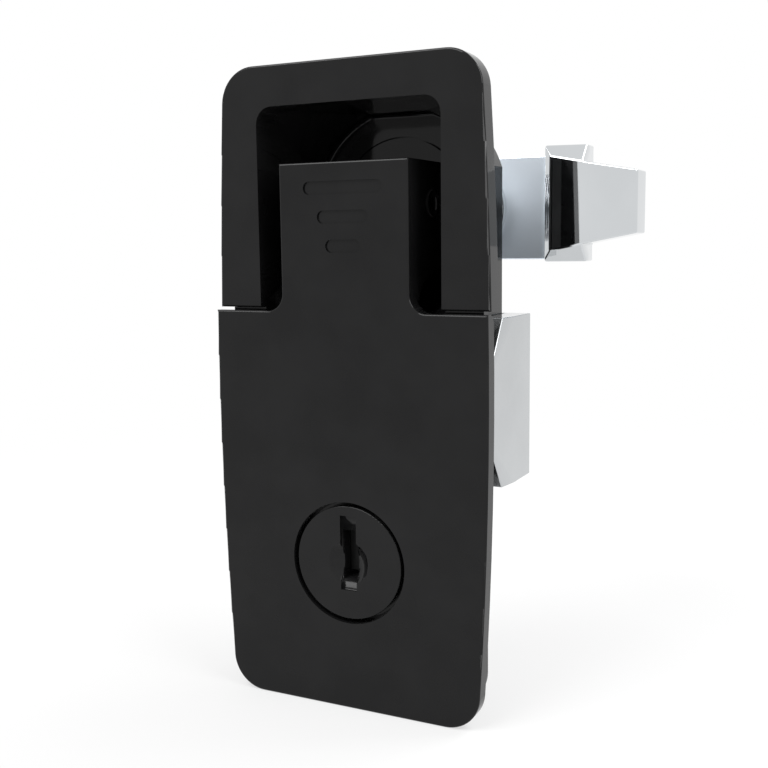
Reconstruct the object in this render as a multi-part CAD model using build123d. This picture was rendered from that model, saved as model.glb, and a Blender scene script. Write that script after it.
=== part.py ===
"""Flush compression latch with a folding lever handle and a key lock.

Frame, in millimetres: +X is to the right of a person facing the latch, +Y goes
into the door and +Z is up. The origin lies on the spindle axis, in the front
face of the panel that the latch is fitted to.
"""
from build123d import *
import os
from math import cos, pi, radians, sin, sqrt, tan

os.makedirs("parts", exist_ok=True)

# Front plate, seen from the front
PLATE_HEIGHT = 112.0
PLATE_TOP = 23.8            # height above the spindle axis
PLATE_HALF_MIDDLE = 25.9    # the sides bow outwards between the two ends
PLATE_HALF_END = 24.0
PLATE_CORNER = 6.3
BEZEL_THICKNESS = 3.7
SPLIT_DROP = 17.6           # the handle starts this far below the spindle axis
SPLIT_GAP = 0.46
EDGE_SOFTENING = 0.4

# Finger recess, square at the mouth and round at the floor
OPENING_HALF = 17.3
OPENING_TOP = 16.8
OPENING_CORNER = 3.0
CUP_SIDE_ROOM = 0.7         # what the round floor reaches past the sides of the opening
CUP_BOTTOM_ROOM = 2.6       # what the deep part of the recess reaches below the round floor
CORNER_REACH = 5.0          # what the corners reach past the round floor at the mouth
LIP_DEPTH = 1.2             # the corners start to close in at this depth
CUP_BAND = 2.8              # and are round over this last part of the depth
FLOOR_FILLET = 0.6

# Body behind the panel
BODY_SIDE_WALL = 1.8
BODY_WALL = 1.5
BODY_CUP_WALL = 2.2
BODY_CORNER = 4.5
BODY_FLOOR = 1.6
BODY_BOTTOM_DROP = 49.0
SHOULDER_STEP = 0.2         # what fills the cut-out in the panel stands out this far
SHOULDER_DEPTH = 2.6
SHOULDER_CORNER = 5.0
LOWER_PLATE_FRONT = -2.0
LOWER_PLATE_HALF = 24.0
LOWER_PLATE_RISE = 2.6      # from the bottom of the handle to that of the plate behind it
SPINDLE_PAD_RADIUS = 14.0
SPINDLE_PAD_HEIGHT = 2.5

# Lock pocket behind the handle
POCKET_HALF = 15.0
POCKET_ABOVE_LOCK = 15.0
POCKET_BELOW_LOCK = 15.4
POCKET_FLOOR = 9.0
POCKET_WALL = 1.6
POCKET_CORNER = 4.0
CAM_SLOT_CLEARANCE = 1.3

# Screw bosses and the cored back of the body
BRACKET_SCREW_HALF_SPACING = 12.0
SCREW_PILOT_RADIUS = 1.7
SCREW_PILOT_DEPTH = 13.0
CORE_WIDTH = 8.4
CORE_DEPTH = 15.0
CORE_RIB = 2.0
CORE_CORNER = 1.2

# Lever handle
HANDLE_PROUD = 1.4
HANDLE_THICKNESS = 2.8
SHOULDER_CHAMFER = 1.2
TONGUE_HALF = 12.15
TONGUE_TOP = 7.0
TONGUE_ROOT_FILLET = 3.0
WEB_FOOT_DROP = 13.2        # below the pin, where the web passes into the round recess
CHEEK_GAP_HALF = 5.4
GROOVE_WIDTHS = (14.8, 9.6, 6.6)
GROOVE_HEIGHT = 2.2
GROOVE_DEPTH = 0.35
GROOVE_PITCH = 4.85
FIRST_GROOVE_DROP = 4.3

# Handle pivot and cam
PIN_DEPTH = 4.9
PIN_RADIUS = 2.85
PIN_CLEARANCE = 0.05
PIN_CHAMFER = 0.3
CAM_HIGH = 12.0             # pin axis to wear plate with the handle shut
CAM_STEPS = 9

# Spindle and rotor
ROD_RADIUS = 5.0
ROD_FLAT_HALF = 4.1
ROD_CLEARANCE = 0.15
ROD_BEHIND_NUT = 3.2
HEAD_HALF = 4.8
HEAD_EYE_RADIUS = 5.2
HEAD_LENGTH = 6.8
SPIGOT_RADIUS = 3.0
SPIGOT_CLEARANCE = 0.06
SPIGOT_LENGTH = 2.9
RUNNING_GAP = 0.3
WEAR_PLATE_RADIUS = 8.5
WEAR_PLATE_THICKNESS = 1.4
ROTOR_RADIUS = 12.5
ROTOR_DISC_THICKNESS = 1.2
ROTOR_PROUD = 0.2
ROTOR_BOSS_RADIUS = 8.0
ROTOR_CLEARANCE = 0.08
ROTOR_RIM_CLEARANCE = 0.3
ROTOR_TAIL = 2.9            # what the boss stands out behind the body
SEAL_WIRE_RADIUS = 0.6
SEAL_FROM_DISC = 1.5
THRUST_WASHER_OUTER = 11.5
THRUST_WASHER_THICKNESS = 0.8
RING_THICKNESS = 1.0
RING_OUTER = 10.3
RING_GROOVE_DEPTH = 0.9
RING_OPENING = 5.0

# Pawl, a cranked bar on the end of the spindle
PAWL_THICKNESS = 7.0
PAWL_HEIGHT = 20.6
PAWL_REACH = 42.7
PAWL_TAIL = 11.0
PAWL_HUB_DEPTH = 46.3
PAWL_ARM_DEPTH = 22.2
CRANK_OUTER_AT_ARM = 33.1
CRANK_LEAN = 16.0           # degrees
CRANK_THICKNESS = 7.3       # along X
ARM_START = 27.2            # where the flat front of the arm starts, past its rounded edge
ARM_ROOT_HEIGHT = 16.6
ARM_TIP_HEIGHT = 10.8
PAWL_INNER_BEND = 4.0
PAWL_OUTER_BEND = 9.0
PAWL_EDGE = 0.4

# Nuts, washers and the spring on the spindle
NUT_ACROSS_FLATS = 17.0
NUT_THICKNESS = 8.0
NUT_CORNER_SHARE = 0.8      # share of each corner that is turned off
WASHER_OUTER = 10.5
WASHER_THICKNESS = 1.5
SPRING_WIRE_RADIUS = 0.7
SPRING_BORE_CLEARANCE = 0.5
SPRING_TURNS = 4
SPRING_SEAT_THICKNESS = 0.8
SPRING_SEAT_OUTER = 8.4

# Mounting bracket, a folded tray that clamps the panel
BRACKET_SIDE_ROOM = 4.8     # from the side of the body to the outside of the bracket
BRACKET_SHEET = 1.5
BRACKET_TOP_DROP = 19.5
BRACKET_BOTTOM_DROP = 49.1
PANEL_THICKNESS = 3.0
BRACKET_CORNER_REACH = 4.2
BRACKET_CORNER_HEIGHT = 5.8
BRACKET_FACET_LEAN = 12.0   # degrees
BRACKET_FOLD_REACH = 10.5   # the fold of a leaned corner starts this far back along its edge
BRACKET_FOLD_HEIGHT = 8.3
BRACKET_FLANGE_SETBACK = 0.4
BRACKET_CORNER_LEAN_ROOM = 1.2
OPEN_FACE_TILT = 0.3        # faces that look forward more than this stay open
BRACKET_BODY_CLEARANCE = 0.4
BRACKET_CUP_CLEARANCE = 0.6
BRACKET_HOLE_RADIUS = 2.2
SCREW_SHANK_RADIUS = 1.6
SCREW_SHANK_LENGTH = 13.0
SCREW_HEAD_RADIUS = 3.6
SCREW_HEAD_HEIGHT = 2.4
SCREW_DRIVE_RADIUS = 1.3
SCREW_DRIVE_DEPTH = 1.3
SCREW_WASHER_OUTER = 4.2
SCREW_WASHER_THICKNESS = 0.8

# Panel gasket, in a groove of the flange
GASKET_INSET = 1.5
GASKET_WIDTH = 2.0
GASKET_THICKNESS = 1.0
GASKET_SIDE_CLEARANCE = 0.05

# Key lock in the handle
LOCK_RISE = 26.5            # axis of the lock above the bottom of the handle
LOCK_BORE_RADIUS = 10.85
LOCK_BORE_DEPTH = 3.4
LOCK_BOSS_RADIUS = 12.6
LOCK_BOSS_BACK = 3.0
PLUG_FACE_RADIUS = 10.1
PLUG_FACE_THICKNESS = 1.9
PLUG_FACE_SETBACK = 0.2
PLUG_STEM_RADIUS = 6.4
PLUG_CLEARANCE = 0.06
BARREL_RADIUS = 8.2
BARREL_CLEARANCE = 0.1
BARREL_FLANGE_RADIUS = 10.5
BARREL_FLANGE_THICKNESS = 1.1
BARREL_BACK = 8.0
LOCK_NUT_ACROSS_FLATS = 20.0
LOCK_NUT_THICKNESS = 2.6
KEYWAY_HEIGHT = 13.3
KEYWAY_WIDTH = 3.1
KEYWAY_SHALLOW = 0.8
KEYWAY_RISE = 1.7           # above the axis of the plug
KEY_PATH_HEIGHT = 8.0
KEY_PATH_WIDTH = 2.8
DISH_RADIUS = 3.55
DISH_DEPTH = 1.5
SHUTTER_THICKNESS = 0.5
SHUTTER_SETBACK = 3.6
SHUTTER_CLEARANCE = 0.06
WAFER_COUNT = 5
WAFER_THICKNESS = 0.7
WAFER_PITCH = 1.7
WAFER_WIDTH = 4.2
WAFER_CLEARANCE = 0.06
CAM_SQUARE_HALF = 2.5
CAM_WIDTH = 8.0
CAM_REACH = 14.0
CAM_THICKNESS = 2.0
CAM_SCREW_RADIUS = 1.5
CAM_SCREW_LENGTH = 3.5
CAM_SCREW_HEAD_RADIUS = 3.0
CAM_SCREW_HEAD_HEIGHT = 1.6

# Heights and depths that follow from the sizes above
PLATE_BOTTOM = PLATE_TOP - PLATE_HEIGHT
PLATE_MIDDLE = (PLATE_TOP + PLATE_BOTTOM) / 2
BEZEL_FRONT = -BEZEL_THICKNESS
HANDLE_FRONT = BEZEL_FRONT - HANDLE_PROUD
HANDLE_BACK = HANDLE_FRONT + HANDLE_THICKNESS
HANDLE_TOP = -SPLIT_DROP - SPLIT_GAP
LOWER_PLATE_BOTTOM = PLATE_BOTTOM + LOWER_PLATE_RISE
CUP_RADIUS = OPENING_HALF + CUP_SIDE_ROOM
CUP_BOTTOM = -CUP_RADIUS - CUP_BOTTOM_ROOM
MOUTH_RADIUS = CUP_RADIUS + CORNER_REACH
BODY_HALF = OPENING_HALF + BODY_SIDE_WALL
BODY_RADIUS = CUP_RADIUS + BODY_CUP_WALL
SHOULDER_HALF = BODY_HALF + SHOULDER_STEP
BRACKET_HALF = BODY_HALF + BRACKET_SIDE_ROOM
FAR = 2 * PLATE_HEIGHT      # reaches past the whole latch
LOCK_Z = PLATE_BOTTOM + LOCK_RISE
KEYWAY_Z = LOCK_Z + KEYWAY_RISE
BRACKET_TOP = -BRACKET_TOP_DROP
BRACKET_BOTTOM = -BRACKET_BOTTOM_DROP
BRACKET_MIDDLE = (BRACKET_TOP + BRACKET_BOTTOM) / 2
CAM_LOW = TONGUE_TOP
CAM_FALL = (CAM_HIGH - CAM_LOW) / (pi / 2)
WEAR_PLATE_FRONT = PIN_DEPTH + CAM_HIGH + RUNNING_GAP
ROTOR_FACE = WEAR_PLATE_FRONT + WEAR_PLATE_THICKNESS
FLOOR_DEPTH = ROTOR_FACE + ROTOR_PROUD
CUP_START = FLOOR_DEPTH - CUP_BAND
BODY_BACK = FLOOR_DEPTH + BODY_FLOOR
BRACKET_BACK = BODY_BACK + BRACKET_SHEET
ROTOR_SEAT = ROTOR_FACE + ROTOR_DISC_THICKNESS
PAD_BACK = BODY_BACK + SPINDLE_PAD_HEIGHT
ROTOR_END = PAD_BACK + ROTOR_TAIL
ROD_FRONT = PIN_DEPTH + HEAD_LENGTH + RUNNING_GAP
HUB_BACK = PAWL_HUB_DEPTH + PAWL_THICKNESS
FRONT_NUT_FRONT = PAWL_HUB_DEPTH - WASHER_THICKNESS - NUT_THICKNESS
REAR_NUT_FRONT = HUB_BACK + WASHER_THICKNESS
ROD_END = REAR_NUT_FRONT + NUT_THICKNESS + ROD_BEHIND_NUT
PLUG_FACE_FRONT = HANDLE_FRONT + PLUG_FACE_SETBACK
BARREL_SEAT = HANDLE_FRONT + LOCK_BORE_DEPTH
POCKET_BACK = POCKET_FLOOR + POCKET_WALL
CAM_FRONT = POCKET_BACK + RUNNING_GAP


def front_plane(depth):
    """Drawing plane whose x is +X and whose y is +Z, at a depth behind the panel front."""
    return Plane(origin=(0, depth, 0), x_dir=(1, 0, 0), z_dir=(0, -1, 0))


def side_plane(offset):
    """Drawing plane whose x is +Y and whose y is +Z, at an offset along +X."""
    return Plane(origin=(offset, 0, 0), x_dir=(0, 1, 0), z_dir=(1, 0, 0))


def between(outline, front, back):
    """Solid with a front view outline, from one depth to another."""
    return extrude(front_plane(back) * outline, amount=back - front)


def across(outline, left, right):
    """Solid with a side view outline, from one X to another."""
    return extrude(side_plane(left) * outline, amount=right - left)


def box_outline(left, right, bottom, top, corner=0.0):
    """Rectangle given by its four sides, with round corners."""
    centre = Pos((left + right) / 2, (bottom + top) / 2)
    if corner:
        return centre * RectangleRounded(right - left, top - bottom, corner)
    return centre * Rectangle(right - left, top - bottom)


def disc(radius, front, back, z=0.0, x=0.0):
    """Round bar along Y."""
    return between(Pos(x, z) * Circle(radius), front, back)


def ring(outer, inner, front, back, z=0.0, x=0.0):
    """Flat ring along Y."""
    return disc(outer, front, back, z, x) - disc(inner, front, back, z, x)


def hexagon(across_flats, front, back, z=0.0):
    """Hexagonal bar along Y, with its corners turned off at both ends."""
    prism = between(Pos(0, z) * RegularPolygon(across_flats / 2, 6, major_radius=False), front, back)
    corner = across_flats / sqrt(3)
    turned = disc(corner, front, back, z)
    turned_off = (corner - across_flats / 2) * NUT_CORNER_SHARE
    turned = chamfer(turned.edges().filter_by(GeomType.CIRCLE), turned_off)
    return prism & turned


def double_flat(radius, half_flat, front, back):
    """Round bar along Y with two flats."""
    outline = Circle(radius) & Rectangle(2 * radius, 2 * half_flat)
    return between(outline, front, back)


def closing_cone(mouth_radius, back_radius, front, back):
    """Round plug about the spindle axis, wide at the mouth and narrower at the back."""
    corners = [(front, 0), (front, mouth_radius), (back, back_radius), (back, 0)]
    profile = make_face(Polyline(*corners, close=True))
    return revolve(side_plane(0) * profile, axis=Axis.Y)


def bowed_outline():
    """Whole front view: straight ends, bowed sides and round corners."""
    top = PLATE_TOP
    bottom = PLATE_BOTTOM
    left = ThreePointArc((-PLATE_HALF_END, bottom), (-PLATE_HALF_MIDDLE, PLATE_MIDDLE), (-PLATE_HALF_END, top))
    right = ThreePointArc((PLATE_HALF_END, bottom), (PLATE_HALF_MIDDLE, PLATE_MIDDLE), (PLATE_HALF_END, top))
    upper = Line((-PLATE_HALF_END, top), (PLATE_HALF_END, top))
    lower = Line((-PLATE_HALF_END, bottom), (PLATE_HALF_END, bottom))
    outline = make_face([left, upper, right, lower])
    return fillet(outline.vertices(), PLATE_CORNER)


def flange_outline():
    """Flange against the panel: the bowed bezel above and a narrower plate behind the handle."""
    above = bowed_outline() & box_outline(-FAR, FAR, -SPLIT_DROP, FAR)
    plate = box_outline(-LOWER_PLATE_HALF, LOWER_PLATE_HALF, LOWER_PLATE_BOTTOM, 0, PLATE_CORNER)
    return above + (plate & box_outline(-FAR, FAR, -FAR, -SPLIT_DROP))


def opening_outline():
    """Mouth of the finger recess, open towards the handle."""
    bottom = -SPLIT_DROP - OPENING_CORNER
    return box_outline(-OPENING_HALF, OPENING_HALF, bottom, OPENING_TOP, OPENING_CORNER)


def make_recess():
    """Space of the finger recess: square at the mouth, round about the spindle at the floor."""
    square = between(box_outline(-OPENING_HALF, OPENING_HALF, CUP_BOTTOM, OPENING_TOP, OPENING_CORNER),
                     LIP_DEPTH, FLOOR_DEPTH)
    corners = closing_cone(MOUTH_RADIUS, CUP_RADIUS, LIP_DEPTH, CUP_START)
    cup = square & (corners + disc(CUP_RADIUS, CUP_START, FLOOR_DEPTH))
    cup = fillet(cup.faces().sort_by(Axis.Y)[-1].edges(), FLOOR_FILLET)
    return cup + between(opening_outline(), HANDLE_FRONT, LIP_DEPTH)


def gasket_outline(inset):
    """Closed line of the gasket, a given way inside the edge of the flange."""
    half = LOWER_PLATE_HALF - inset
    corner = PLATE_CORNER - inset / 2
    return box_outline(-half, half, LOWER_PLATE_BOTTOM + inset, PLATE_TOP - inset, corner)


def lock_window():
    """Hole in the pocket floor for the tail of the lock and its cam."""
    reach = CAM_REACH + CAM_SLOT_CLEARANCE
    half = CAM_WIDTH / 2 + CAM_SLOT_CLEARANCE
    slot = box_outline(-half, half, LOCK_Z - reach, LOCK_Z)
    return slot + Pos(0, LOCK_Z) * Circle(PLUG_STEM_RADIUS + CAM_SLOT_CLEARANCE)


def body_shell():
    """Body behind the flange: walls round the recess and a block down to the bracket."""
    top = OPENING_TOP + BODY_WALL
    square = between(box_outline(-BODY_HALF, BODY_HALF, -BODY_BOTTOM_DROP, top, BODY_CORNER), 0, BODY_BACK)
    corners = closing_cone(MOUTH_RADIUS + BODY_WALL, BODY_RADIUS, LIP_DEPTH, CUP_START)
    head = disc(MOUTH_RADIUS + BODY_WALL, 0, LIP_DEPTH) + corners + disc(BODY_RADIUS, CUP_START, BODY_BACK)
    block = between(box_outline(-BODY_HALF, BODY_HALF, -BODY_BOTTOM_DROP, 0), 0, BODY_BACK)
    body = square & (head + block)
    body = chamfer(body.faces().sort_by(Axis.Y)[-1].edges(), EDGE_SOFTENING)
    return body + disc(SPINDLE_PAD_RADIUS, BODY_BACK, PAD_BACK)


def body_cores():
    """Pockets that keep the block behind the handle to even walls, open at the back."""
    top = CUP_BOTTOM - CORE_RIB
    bottom = -BODY_BOTTOM_DROP + CORE_RIB
    middle = (top + bottom) / 2
    lower = box_outline(-CORE_WIDTH / 2, CORE_WIDTH / 2, bottom, middle - CORE_RIB / 2, CORE_CORNER)
    upper = box_outline(-CORE_WIDTH / 2, CORE_WIDTH / 2, middle + CORE_RIB / 2, top, CORE_CORNER)
    return between(lower + upper, BODY_BACK - CORE_DEPTH, BODY_BACK)


def make_housing():
    """Moulded housing: flange, finger recess, body, lock pocket and bosses."""
    bezel_zone = box_outline(-FAR, FAR, -SPLIT_DROP, FAR)
    bezel = between(bowed_outline() & bezel_zone, BEZEL_FRONT, 0)
    front_edges = bezel.faces().sort_by(Axis.Y)[0].edges()
    bezel = fillet(front_edges, EDGE_SOFTENING)
    lower_zone = box_outline(-FAR, FAR, -FAR, -SPLIT_DROP)
    housing = bezel + between(flange_outline() & lower_zone, LOWER_PLATE_FRONT, 0)
    shoulder = box_outline(-SHOULDER_HALF, SHOULDER_HALF, LOWER_PLATE_BOTTOM + SHOULDER_CORNER,
                           OPENING_TOP + BODY_WALL, SHOULDER_CORNER)
    housing += between(shoulder, 0, SHOULDER_DEPTH)
    housing += body_shell()
    pocket_half = POCKET_HALF + POCKET_WALL
    pocket_top = LOCK_Z + POCKET_ABOVE_LOCK
    pocket_bottom = LOCK_Z - POCKET_BELOW_LOCK
    outer_pocket = box_outline(-pocket_half, pocket_half, pocket_bottom - POCKET_WALL,
                               pocket_top + POCKET_WALL, POCKET_CORNER + POCKET_WALL)
    housing += between(outer_pocket, 0, POCKET_BACK)
    pocket = box_outline(-POCKET_HALF, POCKET_HALF, pocket_bottom, pocket_top, POCKET_CORNER)
    housing -= between(pocket, HANDLE_FRONT, POCKET_FLOOR)
    housing -= between(lock_window(), 0, FAR)
    housing -= make_recess()
    housing -= disc(ROTOR_RADIUS + ROTOR_RIM_CLEARANCE, 0, ROTOR_SEAT)
    housing -= disc(ROTOR_BOSS_RADIUS + ROTOR_CLEARANCE, 0, FAR)
    housing -= body_cores()
    for side in (-1, 1):
        housing -= disc(SCREW_PILOT_RADIUS, BODY_BACK - SCREW_PILOT_DEPTH, BODY_BACK, BRACKET_MIDDLE,
                        side * BRACKET_SCREW_HALF_SPACING)
    groove = gasket_outline(GASKET_INSET) - gasket_outline(GASKET_INSET + GASKET_WIDTH)
    housing -= between(groove, -GASKET_THICKNESS, 0)
    return housing


def make_panel_gasket():
    """Rubber gasket that seals the flange to the panel."""
    outer = gasket_outline(GASKET_INSET + GASKET_SIDE_CLEARANCE)
    inner = gasket_outline(GASKET_INSET + GASKET_WIDTH - GASKET_SIDE_CLEARANCE)
    return between(outer - inner, -GASKET_THICKNESS, 0)


def cam_point(turn):
    """Point of the handle's cam that bears on the wear plate when the handle has turned this far.

    The distance to the wear plate falls evenly with the turn, so the spindle
    moves in step with the handle.
    """
    lift = CAM_HIGH - CAM_FALL * turn
    return (PIN_DEPTH + lift * cos(turn) + CAM_FALL * sin(turn), lift * sin(turn) - CAM_FALL * cos(turn))


def tongue_side():
    """Side view of the tongue behind the front layer: cam at the back, web down to the plate."""
    cam = [cam_point(step / CAM_STEPS * pi / 2) for step in range(CAM_STEPS + 1)]
    heel = (PIN_DEPTH + CAM_HIGH, -TONGUE_TOP)
    foot = (LIP_DEPTH - RUNNING_GAP, -WEB_FOOT_DROP)
    curve = Spline(*cam)
    rest = Polyline(cam[-1], (HANDLE_BACK, TONGUE_TOP), (HANDLE_BACK, -SPLIT_DROP), foot, heel, cam[0])
    return make_face([curve, rest])


def handle_front_layer():
    """Front of the handle: the wide plate, bowed like the bezel, and the face of the tongue."""
    plate = bowed_outline() & box_outline(-FAR, FAR, -FAR, HANDLE_TOP)
    tongue = box_outline(-TONGUE_HALF, TONGUE_HALF, HANDLE_TOP - TONGUE_ROOT_FILLET, TONGUE_TOP)
    outline = (plate + tongue).face()
    roots = [corner for corner in outline.vertices()
             if abs(abs(corner.X) - TONGUE_HALF) < SPLIT_GAP and abs(corner.Y - HANDLE_TOP) < SPLIT_GAP]
    outline = fillet(roots, TONGUE_ROOT_FILLET)
    layer = between(outline, HANDLE_FRONT, HANDLE_BACK)
    front_edges = layer.faces().sort_by(Axis.Y)[0].edges()
    layer = fillet(front_edges, EDGE_SOFTENING)
    corner = (HANDLE_BACK, HANDLE_TOP)
    relief = make_face(Polyline(corner, (HANDLE_BACK - SHOULDER_CHAMFER, HANDLE_TOP),
                                (HANDLE_BACK, HANDLE_TOP - SHOULDER_CHAMFER), close=True))
    inner = TONGUE_HALF + TONGUE_ROOT_FILLET
    return layer - across(relief, inner, FAR) - across(relief, -FAR, -inner)


def groove_cuts():
    """Three round-ended finger grooves, shorter from one to the next."""
    cuts = []
    for number, width in enumerate(GROOVE_WIDTHS):
        z = TONGUE_TOP - FIRST_GROOVE_DROP - number * GROOVE_PITCH
        outline = Pos(0, z) * SlotOverall(width, GROOVE_HEIGHT)
        cuts.append(between(outline, HANDLE_FRONT, HANDLE_FRONT + GROOVE_DEPTH))
    return cuts


def make_handle():
    """Lever handle: plate, tongue with two cam cheeks, and the boss for the lock."""
    handle = handle_front_layer() + across(tongue_side(), -TONGUE_HALF, TONGUE_HALF)
    cheek_gap = box_outline(PIN_DEPTH, FAR, -HEAD_EYE_RADIUS, FAR)
    cheek_gap += box_outline(PIN_DEPTH - HEAD_EYE_RADIUS, FAR, 0, FAR)
    cheek_gap += Pos(PIN_DEPTH, 0) * Circle(HEAD_EYE_RADIUS)
    cheek_gap = offset(cheek_gap, RUNNING_GAP)
    handle -= across(cheek_gap, -CHEEK_GAP_HALF, CHEEK_GAP_HALF)
    handle -= across(Pos(PIN_DEPTH, 0) * Circle(PIN_RADIUS + PIN_CLEARANCE), -FAR, FAR)
    handle += disc(LOCK_BOSS_RADIUS, HANDLE_BACK, LOCK_BOSS_BACK, LOCK_Z)
    handle -= disc(LOCK_BORE_RADIUS, HANDLE_FRONT, BARREL_SEAT, LOCK_Z)
    handle -= disc(BARREL_RADIUS + BARREL_CLEARANCE, HANDLE_FRONT, LOCK_BOSS_BACK, LOCK_Z)
    for cut in groove_cuts():
        handle -= cut
    return handle


def make_handle_pin():
    """Pin that the handle turns on, flush with the sides of the tongue."""
    pin = across(Pos(PIN_DEPTH, 0) * Circle(PIN_RADIUS), -TONGUE_HALF, TONGUE_HALF)
    return chamfer(pin.edges().filter_by(GeomType.CIRCLE), PIN_CHAMFER)


def make_spindle_head():
    """Eye of the spindle, between the cheeks of the handle."""
    neck = box_outline(PIN_DEPTH, PIN_DEPTH + HEAD_LENGTH, -ROD_RADIUS, ROD_RADIUS)
    eye = across(neck + Pos(PIN_DEPTH, 0) * Circle(HEAD_EYE_RADIUS), -HEAD_HALF, HEAD_HALF)
    eye -= across(Pos(PIN_DEPTH, 0) * Circle(PIN_RADIUS + PIN_CLEARANCE), -FAR, FAR)
    socket_front = ROD_FRONT - SPIGOT_LENGTH - RUNNING_GAP
    return eye - disc(SPIGOT_RADIUS + SPIGOT_CLEARANCE, socket_front, FAR)


def make_spindle_rod():
    """Threaded spindle with two flats, from the eye to behind the pawl."""
    rod = double_flat(ROD_RADIUS, ROD_FLAT_HALF, ROD_FRONT, ROD_END)
    end_edges = rod.faces().sort_by(Axis.Y)[-1].edges().filter_by(GeomType.CIRCLE)
    rod = chamfer(end_edges, EDGE_SOFTENING)
    return rod + disc(SPIGOT_RADIUS, ROD_FRONT - SPIGOT_LENGTH, ROD_FRONT)


def rod_hole(front, back):
    """Hole that slides on the flats of the spindle."""
    return double_flat(ROD_RADIUS + ROD_CLEARANCE, ROD_FLAT_HALF + ROD_CLEARANCE, front, back)


def make_wear_plate():
    """Hard plate on the rotor that the handle's cam bears on."""
    plate = disc(WEAR_PLATE_RADIUS, WEAR_PLATE_FRONT, ROTOR_FACE)
    return plate - rod_hole(WEAR_PLATE_FRONT, ROTOR_FACE)


def make_rotor():
    """Rotor in the recess floor, with a boss that passes through the housing."""
    rotor = disc(ROTOR_RADIUS, ROTOR_FACE, ROTOR_SEAT) + disc(ROTOR_BOSS_RADIUS, ROTOR_SEAT, ROTOR_END)
    seal_middle = ROTOR_SEAT + SEAL_FROM_DISC
    seal_floor = ROTOR_BOSS_RADIUS - 2 * SEAL_WIRE_RADIUS
    groove_half = SEAL_WIRE_RADIUS + ROTOR_CLEARANCE
    rotor -= ring(FAR, seal_floor, seal_middle - groove_half, seal_middle + groove_half)
    ring_front = PAD_BACK + THRUST_WASHER_THICKNESS
    rotor -= ring(FAR, ROTOR_BOSS_RADIUS - RING_GROOVE_DEPTH, ring_front, ring_front + RING_THICKNESS)
    return rotor - rod_hole(ROTOR_FACE, ROTOR_END)


def make_rotor_seal():
    """Rubber ring in the rotor's groove."""
    path_radius = ROTOR_BOSS_RADIUS - SEAL_WIRE_RADIUS
    seal = Torus(path_radius, SEAL_WIRE_RADIUS)
    return Pos(0, ROTOR_SEAT + SEAL_FROM_DISC, 0) * Rot(90, 0, 0) * seal


def make_thrust_washer():
    """Washer between the housing and the retaining ring."""
    return ring(THRUST_WASHER_OUTER, ROTOR_BOSS_RADIUS + 2 * ROTOR_CLEARANCE, PAD_BACK,
                PAD_BACK + THRUST_WASHER_THICKNESS)


def make_rotor_retaining_ring():
    """Open spring ring that holds the rotor in the housing."""
    front = PAD_BACK + THRUST_WASHER_THICKNESS
    clip = ring(RING_OUTER, ROTOR_BOSS_RADIUS - RING_GROOVE_DEPTH, front, front + RING_THICKNESS)
    gap = box_outline(-RING_OPENING / 2, RING_OPENING / 2, -FAR, 0)
    return clip - between(gap, front, front + RING_THICKNESS)


def pawl_plan():
    """Plan view of the cranked bar, from the hub behind the spindle to the tip of the arm."""
    lean = tan(radians(CRANK_LEAN))
    arm_back = PAWL_ARM_DEPTH + PAWL_THICKNESS
    outer_at_back = CRANK_OUTER_AT_ARM - (HUB_BACK - arm_back) * lean
    inner_at_arm = CRANK_OUTER_AT_ARM - CRANK_THICKNESS
    inner_at_hub = inner_at_arm - (PAWL_HUB_DEPTH - arm_back) * lean
    points = [(-PAWL_TAIL, PAWL_HUB_DEPTH), (inner_at_hub, PAWL_HUB_DEPTH), (inner_at_arm, arm_back),
              (inner_at_arm, PAWL_ARM_DEPTH), (PAWL_REACH, PAWL_ARM_DEPTH), (PAWL_REACH, arm_back),
              (CRANK_OUTER_AT_ARM, arm_back), (outer_at_back, HUB_BACK), (-PAWL_TAIL, HUB_BACK)]
    plan = make_face(Polyline(*points, close=True))
    inner = plan.vertices().sort_by_distance((inner_at_hub, PAWL_HUB_DEPTH, 0))[0]
    plan = fillet(inner, PAWL_INNER_BEND)
    outer = plan.vertices().sort_by_distance((outer_at_back, HUB_BACK, 0))[0]
    return fillet(outer, PAWL_OUTER_BEND)


def arm_taper():
    """Front view that the arm is cut to: high at the crank and low at the tip."""
    root = ARM_ROOT_HEIGHT / 2
    tip = ARM_TIP_HEIGHT / 2
    corners = [(ARM_START, root), (PAWL_REACH, tip), (PAWL_REACH, -tip), (ARM_START, -root)]
    return make_face(Polyline(*corners, close=True))


def make_pawl():
    """Cranked pawl, keyed on the flats of the spindle.

    The crank keeps its full height. Its front edges fall back at 45 degrees from
    the lines that the arm tapers along.
    """
    bar = extrude(pawl_plan(), amount=PAWL_HEIGHT / 2, both=True)
    bar = chamfer(bar.edges().filter_by(Axis.Z).sort_by(Axis.X)[-2:], PAWL_EDGE)
    arm_back = PAWL_ARM_DEPTH + PAWL_THICKNESS
    fall_back = extrude(front_plane(PAWL_ARM_DEPTH) * arm_taper(), amount=-PAWL_THICKNESS, taper=-45)
    behind = between(box_outline(-FAR, FAR, -FAR, FAR), arm_back, FAR)
    crank_zone = between(box_outline(-FAR, CRANK_OUTER_AT_ARM, -FAR, FAR), 0, FAR)
    crank = bar & crank_zone & (fall_back + behind)
    arm = (bar - crank_zone) & between(arm_taper(), PAWL_ARM_DEPTH, arm_back)
    return crank + arm - rod_hole(PAWL_HUB_DEPTH, HUB_BACK)


def make_nut(front):
    """Hexagon nut on the spindle."""
    nut = hexagon(NUT_ACROSS_FLATS, front, front + NUT_THICKNESS)
    return nut - disc(ROD_RADIUS + PIN_CLEARANCE, front, front + NUT_THICKNESS)


def make_pawl_washers():
    """One washer on each side of the pawl."""
    bore = ROD_RADIUS + ROD_CLEARANCE
    return [ring(WASHER_OUTER, bore, front, front + WASHER_THICKNESS)
            for front in (PAWL_HUB_DEPTH - WASHER_THICKNESS, HUB_BACK)]


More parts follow.
